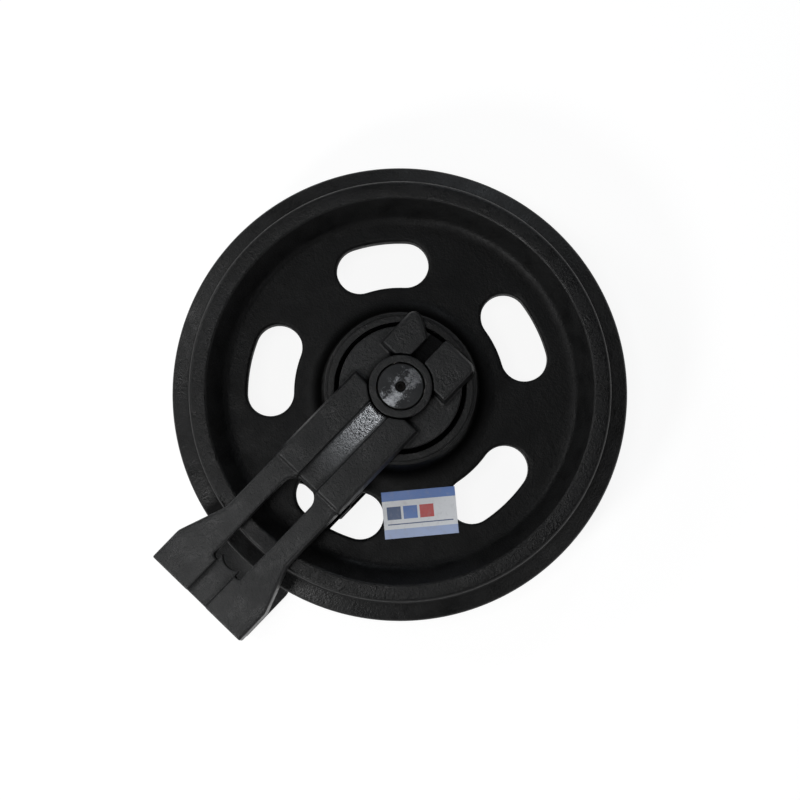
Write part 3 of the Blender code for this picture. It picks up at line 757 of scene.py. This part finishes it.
def wheel_profile():
    upper = [
        (HUB_BORE_RADIUS, SEAL_FLOOR, 0),
        (SEAL_HOUSING_RADIUS, SEAL_FLOOR, 0),
        (SEAL_HOUSING_RADIUS, LABYRINTH_FLOOR, 0),
        (LABYRINTH_RADIUS, LABYRINTH_FLOOR, 0.4 * MM),
        (LABYRINTH_RADIUS, HUB_HALF, 0.6 * MM),
        (HUB_FACE_RADIUS, HUB_HALF, 0.4 * MM),
        (HUB_FACE_RADIUS, HUB_HALF - HUB_FACE_STEP, 0.3 * MM),
        (HUB_RADIUS, HUB_HALF - HUB_FACE_STEP, HUB_EDGE_ROUND),
        (HUB_ROOT_RADIUS, WEB_HALF, HUB_FILLET),
        (RIM_ROOT_RADIUS, WEB_HALF, WEB_FILLET),
        (RIM_LIP_RADIUS, RIM_HALF, RIM_EDGE_ROUND),
        (TREAD_RADIUS, RIM_HALF, RIM_EDGE_ROUND),
        (TREAD_RADIUS, FLANGE_BASE_HALF, RIM_EDGE_ROUND),
        (FLANGE_RADIUS, FLANGE_CREST_HALF, RIM_EDGE_ROUND),
    ]
    outline = rounded(mirrored(upper))
    dense = []
    for index, here in enumerate(outline):
        dense.append(here)
        after = outline[(index + 1) % len(outline)]
        if abs(here.y - after.y) < 0.01 * MM and abs(abs(here.y) - WEB_HALF) < 0.1 * MM:
            dense += [here.lerp(after, n / WEB_LOOPS) for n in range(1, WEB_LOOPS)]
    return dense


def make_wheel():
    mesh = combined(turned(wheel_profile(), WHEEL_FACETS), [("DIFFERENCE", slot_cutters())])
    piece("wheel_casting", mesh, "wheel", WHEEL_PAINT, ["idler_wheel"])


# Bracket


def fork_outline(foot_half, foot_reach):
    bend = WINDOW_CORNER
    start = BAR_END + WINDOW_CORNER
    end = FOOT_END - OVERSHOOT
    flare_start = foot_reach + FLARE_START
    flare_end = foot_reach + FLARE_END
    return rounded(
        [
            (end, -foot_half, 0),
            (flare_end, -foot_half, bend),
            (flare_start, -BAR_HALF, bend),
            (start, -BAR_HALF, 0),
            (start, BAR_HALF, 0),
            (flare_start, BAR_HALF, bend),
            (flare_end, foot_half, bend),
            (end, foot_half, 0),
        ]
    )


def window_outline(foot_reach):
    """Opening between the prongs. The tongue in the foot ends hollow, with a corner beside it."""
    end = foot_reach + WINDOW_END
    corner_end = end - TONGUE_CORNER_REACH
    centre = end + TONGUE_HOLLOW_RADIUS
    opening = math.asin(TONGUE_HALF / TONGUE_HOLLOW_RADIUS)
    hollow_end = centre - TONGUE_HOLLOW_RADIUS * math.cos(opening)
    outline = rounded(
        [
            (hollow_end, -TONGUE_HALF, 0),
            (corner_end, -TONGUE_HALF, 0),
            (corner_end, -WINDOW_HALF, TONGUE_CORNER_ROUND),
            (WINDOW_START, -WINDOW_HALF, WINDOW_CORNER),
            (WINDOW_START, WINDOW_HALF, WINDOW_CORNER),
            (corner_end, WINDOW_HALF, TONGUE_CORNER_ROUND),
            (corner_end, TONGUE_HALF, 0),
        ]
    )
    reach = (math.pi - opening, math.pi + opening)
    return outline + arc((centre, 0), TONGUE_HOLLOW_RADIUS, *reach, 14)


def cast_skin(target):
    """Even skin with soft edges, as a sand casting has."""
    remesh = target.modifiers.new("skin", "REMESH")
    remesh.mode = "VOXEL"
    remesh.voxel_size = CAST_VOXEL
    remesh.adaptivity = 0
    smooth = target.modifiers.new("soft", "SMOOTH")
    smooth.factor = 0.5
    smooth.iterations = CAST_SMOOTHING


def bracket_mesh(foot_half, foot_reach):
    high = BRACKET_TOP + OVERSHOOT
    pads = rounded(
        [
            (PAD_START, -BAR_HALF, 0),
            (PAD_END, -BAR_HALF, PAD_CORNER),
            (PAD_END, 0, 0),
            (PAD_END - PAD_BEVEL_LENGTH, PAD_GAP[1], 0),
            (PAD_END, PAD_GAP[1] + PAD_BEVEL_WIDTH, 0),
            (PAD_END, BAR_HALF + PAD_BULGE, PAD_BEVEL_CORNER),
            (PAD_START, BAR_HALF + PAD_BULGE, 0),
        ]
    )
    shank = box_outline(BAR_END, SHANK_START, BAR_HALF - CAST_ROUND)
    beyond = box_outline(FOOT_END - 2 * FOOT_HALF, FOOT_END, 2 * FOOT_HALF)
    bar_groove = box_outline(BAR_END, 0, GROOVE_HALF)
    gap_width = PAD_GAP[1] - PAD_GAP[0]
    pad_gap = [
        (x, y + PAD_GAP[0] + gap_width / 2)
        for x, y in box_outline(0, FLANGE_RADIUS, gap_width / 2)
    ]
    foot_groove = box_outline(FOOT_END - 2 * OVERSHOOT, BAR_END, GROOVE_HALF)
    disc = [
        (AXLE_BORE_RADIUS, SLEEVE_END),
        (SLEEVE_RADIUS, SLEEVE_END),
        (SLEEVE_RADIUS, BRACKET_SEAL_FLOOR),
        (SEAL_HOUSING_RADIUS, BRACKET_SEAL_FLOOR),
        (SEAL_HOUSING_RADIUS, DISC_LOW),
        (DISC_RADIUS, DISC_LOW),
        (DISC_RADIUS, DISC_TOP),
        (AXLE_BORE_RADIUS, DISC_TOP),
    ]
    fork = fork_outline(foot_half, foot_reach)
    steps = [
        ("UNION", cast_prism(pads, SLAB_LOW, BRACKET_TOP, PAD_DRAFT)),
        ("UNION", cast_prism(shank, ARM_LOW, BRACKET_TOP - GROOVE_DEPTH / 2)),
        ("UNION", cast_prism(fork, ARM_LOW, ARM_TOP)),
        ("DIFFERENCE", prism(beyond, ARM_LOW - OVERSHOOT, high)),
        ("DIFFERENCE", prism(bar_groove, BRACKET_TOP - GROOVE_DEPTH, high)),
        ("DIFFERENCE", prism(pad_gap, ARM_LOW, high)),
        ("DIFFERENCE", prism(foot_groove, ARM_TOP - GROOVE_DEPTH, high)),
        ("DIFFERENCE", prism(window_outline(foot_reach), ARM_LOW - OVERSHOOT, high)),
        ("DIFFERENCE", prism(circle(BOSS_SEAT_RADIUS, RING_FACETS), ARM_LOW, high)),
        ("UNION", turned(disc, RING_FACETS)),
    ]
    bar = box_outline(BAR_END, BAR_START, BAR_HALF)
    return combined(cast_prism(bar, SLAB_LOW, BRACKET_TOP, PAD_DRAFT), steps, cast_skin)


def make_brackets():
    boss = turned(
        rounded(
            [
                (AXLE_BORE_RADIUS, DISC_TOP - 1 * MM, 0),
                (BOSS_RADIUS, DISC_TOP - 1 * MM, 0),
                (BOSS_RADIUS, BRACKET_TOP, BOSS_CHAMFER),
                (AXLE_BORE_RADIUS, BRACKET_TOP, 0.3 * MM),
            ]
        ),
        RING_FACETS,
    )
    boss_mesh = to_mesh(boss)
    upright = Matrix.Translation((0, 0, MIDDLE))
    turned_over = upright @ Matrix.Rotation(math.pi, 4, "X")
    sides = (
        ("upper", upright, FOOT_HALF, 0),
        ("lower", turned_over, FAR_FOOT_HALF, FAR_FOOT_REACH),
    )
    for word, place, foot_half, foot_reach in sides:
        mesh = bracket_mesh(foot_half, foot_reach)
        piece(
            f"bracket_casting_{word}", mesh, "yoke", BRACKET_PAINT,
            [f"bracket_{word}"], place, sharp=0,
        )
        piece(f"boss_ring_{word}", boss_mesh, "yoke", BRACKET_PAINT, (), place)


# Axle and label


def make_axle():
    corner = 0.35 * MM
    outline = rounded(
        [
            (AXLE_RADIUS, -BRACKET_TOP + AXLE_CHAMFER, corner),
            (AXLE_RADIUS, BRACKET_TOP - AXLE_CHAMFER, corner),
            (AXLE_RADIUS - AXLE_CHAMFER, BRACKET_TOP, corner),
            (0, BRACKET_TOP, 0),
            (0, -BRACKET_TOP, 0),
            (AXLE_RADIUS - AXLE_CHAMFER, -BRACKET_TOP, corner),
        ]
    )
    top = next(i for i, p in enumerate(outline) if p.x == 0 and p.y > 0)
    profile = outline[top + 1:] + outline[:top + 1]
    plug_low = BRACKET_TOP - PLUG_RECESS - PLUG_LENGTH
    hole_radius = PLUG_RADIUS + 0.3 * MM
    lead = 0.7 * MM
    hole = lofted(
        [
            (circle(hole_radius, 48), plug_low - 0.3 * MM),
            (circle(hole_radius, 48), BRACKET_TOP - lead),
            (circle(hole_radius + 2 * lead, 48), BRACKET_TOP + lead),
        ]
    )
    mesh = combined(turned_to_axis(profile, RING_FACETS), [("DIFFERENCE", hole)])
    piece("axle_shaft", mesh, "yoke", AXLE_STEEL, ["axle"])
    edge = 0.4 * MM
    body = lofted(
        [
            (circle(PLUG_RADIUS, 48), plug_low),
            (circle(PLUG_RADIUS, 48), BRACKET_TOP - PLUG_RECESS - edge),
            (circle(PLUG_RADIUS - edge, 48), BRACKET_TOP - PLUG_RECESS),
        ]
    )
    socket = prism(
        circle(PLUG_SOCKET_RADIUS, 6),
        BRACKET_TOP - PLUG_RECESS - PLUG_SOCKET_DEPTH,
        BRACKET_TOP + OVERSHOOT,
    )
    mesh = combined(body, [("DIFFERENCE", socket)])
    piece("plug_screw", mesh, "yoke", PLUG_STEEL, ["oil_plug"])


def label_print(x, y):
    """Colour of the label's print at a spot, in mm from its middle."""
    if y > 12:
        return LABEL_BLUE
    if y < -12.2:
        return LABEL_PALE
    if -8.5 < y < -7.6 and -28 < x < 28:
        return LABEL_NAVY
    if -4 < y < 7:
        for low, high, colour in LABEL_BLOCKS:
            if low < x < high:
                return colour
    return LABEL_WHITE


def make_label():
    """Sticker with plain bands and blocks, as its faces' colours."""
    shape = bmesh.new()
    layer = shape.loops.layers.float_color.new("print")
    grid = {}
    for i, x in enumerate(LABEL_CUTS_X):
        for j, y in enumerate(LABEL_CUTS_Y):
            for k, z in enumerate((0, LABEL_THICKNESS)):
                grid[i, j, k] = shape.verts.new((x * MM, y * MM, z))
    last_x = len(LABEL_CUTS_X) - 1
    last_y = len(LABEL_CUTS_Y) - 1

    def face(corners, colour):
        made = shape.faces.new([grid[c] for c in corners])
        for loop in made.loops:
            loop[layer] = (*colour, 1)

    def edge(corners):
        """Side face over a run of lower corners."""
        first, second = corners
        face([(*first, 0), (*second, 0), (*second, 1), (*first, 1)], LABEL_WHITE)

    for i in range(last_x):
        for j in range(last_y):
            x = (LABEL_CUTS_X[i] + LABEL_CUTS_X[i + 1]) / 2
            y = (LABEL_CUTS_Y[j] + LABEL_CUTS_Y[j + 1]) / 2
            top = [(i, j, 1), (i + 1, j, 1), (i + 1, j + 1, 1), (i, j + 1, 1)]
            face(top, label_print(x, y))
            back = [(i, j, 0), (i, j + 1, 0), (i + 1, j + 1, 0), (i + 1, j, 0)]
            face(back, LABEL_WHITE)
    for i in range(last_x):
        edge([(i, 0), (i + 1, 0)])
        edge([(i + 1, last_y), (i, last_y)])
    for j in range(last_y):
        edge([(0, j + 1), (0, j)])
        edge([(last_x, j), (last_x, j + 1)])
    spot = Matrix.Translation(
        (
            LABEL_RADIUS * math.cos(LABEL_ANGLE),
            LABEL_RADIUS * math.sin(LABEL_ANGLE),
            MIDDLE + LABEL_HEIGHT,
        )
    )
    place = spot @ Matrix.Rotation(LABEL_TURN, 4, "Z")
    piece("label_sticker", to_mesh(shape), "wheel", PAPER, ["label"], place)


def finish_inner_nodes():
    """Gives the parts inside the hub their finishes."""
    finishes = {
        "bush": ("bronze", BRONZE),
        "seal_ring": ("seal_steel", SEAL_STEEL),
        "toric": ("seal_rubber", RUBBER),
        "axle_oring": ("seal_rubber", RUBBER),
        "lock_pin": ("pin_steel", PIN_STEEL),
    }
    for name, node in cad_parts.items():
        for start, (slot, material) in finishes.items():
            if name.startswith(start):
                node.data.materials.clear()
                node.data.materials.append(material)


# Floor, light and camera


def background_share(tree):
    """1 for the rays of the eye, of gloss and of glass, which see the background."""
    rays = tree.nodes.new("ShaderNodeLightPath")
    share = rays.outputs["Is Camera Ray"]
    for name in ("Is Glossy Ray", "Is Transmission Ray"):
        highest = tree.nodes.new("ShaderNodeMath")
        highest.operation = "MAXIMUM"
        tree.links.new(share, highest.inputs[0])
        tree.links.new(rays.outputs[name], highest.inputs[1])
        share = highest.outputs[0]
    return share


def make_floor():
    """Pale floor that looks white but for the object's shadow, and is clear from below."""
    shape = bmesh.new()
    bmesh.ops.create_grid(shape, x_segments=1, y_segments=1, size=FLOOR_SIZE)
    mesh = to_mesh(shape)
    mesh.transform(Matrix.Translation((0, 0, -FLOOR_GAP)))
    floor = bpy.data.objects.new("floor", mesh)
    bpy.context.collection.objects.link(floor)
    material = bpy.data.materials.new("floor")
    material.use_nodes = True
    tree = material.node_tree
    tree.nodes.clear()
    link = tree.links.new

    def diffuse(level):
        node = tree.nodes.new("ShaderNodeBsdfDiffuse")
        node.inputs["Color"].default_value = (level, level, level, 1)
        return node.outputs[0]

    glow = tree.nodes.new("ShaderNodeEmission")
    glow.inputs["Color"].default_value = (1, 1, 1, 1)
    glow.inputs["Strength"].default_value = FLOOR_GLOW
    seen = tree.nodes.new("ShaderNodeAddShader")
    link(glow.outputs[0], seen.inputs[0])
    link(diffuse(FLOOR_SHADE), seen.inputs[1])
    mix = tree.nodes.new("ShaderNodeMixShader")
    link(background_share(tree), mix.inputs[0])
    link(diffuse(FLOOR_COLOUR), mix.inputs[1])
    link(seen.outputs[0], mix.inputs[2])
    side = tree.nodes.new("ShaderNodeNewGeometry")
    clear = tree.nodes.new("ShaderNodeBsdfTransparent")
    below = tree.nodes.new("ShaderNodeMixShader")
    link(side.outputs["Backfacing"], below.inputs[0])
    link(mix.outputs[0], below.inputs[1])
    link(clear.outputs[0], below.inputs[2])
    out = tree.nodes.new("ShaderNodeOutputMaterial")
    link(below.outputs[0], out.inputs["Surface"])
    mesh.materials.append(material)


def aimed(back, roll=0.0):
    """Rotation whose local Z points along back, turned by roll about it."""
    across = Vector((0, 0, 1)).cross(back).normalized()
    up = back.cross(across)
    x = across * math.cos(roll) + up * math.sin(roll)
    y = up * math.cos(roll) - across * math.sin(roll)
    return Matrix((x, y, back)).transposed().to_4x4()


def direction(heading, elevation):
    h = math.radians(heading)
    e = math.radians(elevation)
    return Vector((math.cos(h) * math.cos(e), math.sin(h) * math.cos(e), math.sin(e)))


def area_light(name, heading, elevation, distance, size, power, tint):
    data = bpy.data.lights.new(name, "AREA")
    data.shape = "DISK"
    data.size = size
    data.energy = power
    data.color = tint
    light = bpy.data.objects.new(name, data)
    bpy.context.collection.objects.link(light)
    back = direction(heading, elevation)
    light.matrix_world = Matrix.Translation(Vector((0, 0, MIDDLE)) + back * distance) @ aimed(back)


def make_camera():
    data = bpy.data.cameras.new("camera")
    data.sensor_width = CAMERA_SENSOR
    data.lens = CAMERA_LENS
    camera = bpy.data.objects.new("camera", data)
    bpy.context.collection.objects.link(camera)
    back = direction(CAMERA_HEADING, CAMERA_ELEVATION)
    spot = CAMERA_TARGET + back * CAMERA_DISTANCE
    camera.matrix_world = Matrix.Translation(spot) @ aimed(back, CAMERA_ROLL)
    bpy.context.scene.camera = camera


def make_world():
    """White to the eye. Reflections meet white walls round the horizon and a dim ceiling."""
    world = bpy.data.worlds.new("studio")
    world.use_nodes = True
    tree = world.node_tree
    link = tree.links.new
    background = tree.nodes["Background"]
    background.inputs["Color"].default_value = (1, 1, 1, 1)
    ray = tree.nodes.new("ShaderNodeTexCoord")
    split = tree.nodes.new("ShaderNodeSeparateXYZ")
    link(ray.outputs["Generated"], split.inputs["Vector"])
    height = tree.nodes.new("ShaderNodeMath")
    height.operation = "ABSOLUTE"
    link(split.outputs["Z"], height.inputs[0])
    walls = tree.nodes.new("ShaderNodeMapRange")
    link(height.outputs["Value"], walls.inputs["Value"])
    for socket, value in zip(walls.inputs[1:5], (WALL_TOP[0], WALL_TOP[1], 1.0, AMBIENT)):
        socket.default_value = value
    rays = tree.nodes.new("ShaderNodeLightPath")
    strength = None
    for output, seen in (
        ("Is Glossy Ray", walls.outputs["Result"]),
        ("Is Transmission Ray", walls.outputs["Result"]),
        ("Is Camera Ray", None),
    ):
        mix = tree.nodes.new("ShaderNodeMix")
        link(rays.outputs[output], mix.inputs["Factor"])
        if strength:
            link(strength, mix.inputs["A"])
        else:
            mix.inputs["A"].default_value = AMBIENT
        if seen:
            link(seen, mix.inputs["B"])
        else:
            mix.inputs["B"].default_value = 1.0
        strength = mix.outputs["Result"]
    link(strength, background.inputs["Strength"])
    bpy.context.scene.world = world


def make_light():
    for values in LIGHTS:
        area_light(*values)
    bpy.context.scene.view_settings.view_transform = "Standard"


make_camera()
make_floor()
make_world()
make_light()
make_wheel()
make_brackets()
make_axle()
make_label()
finish_inner_nodes()
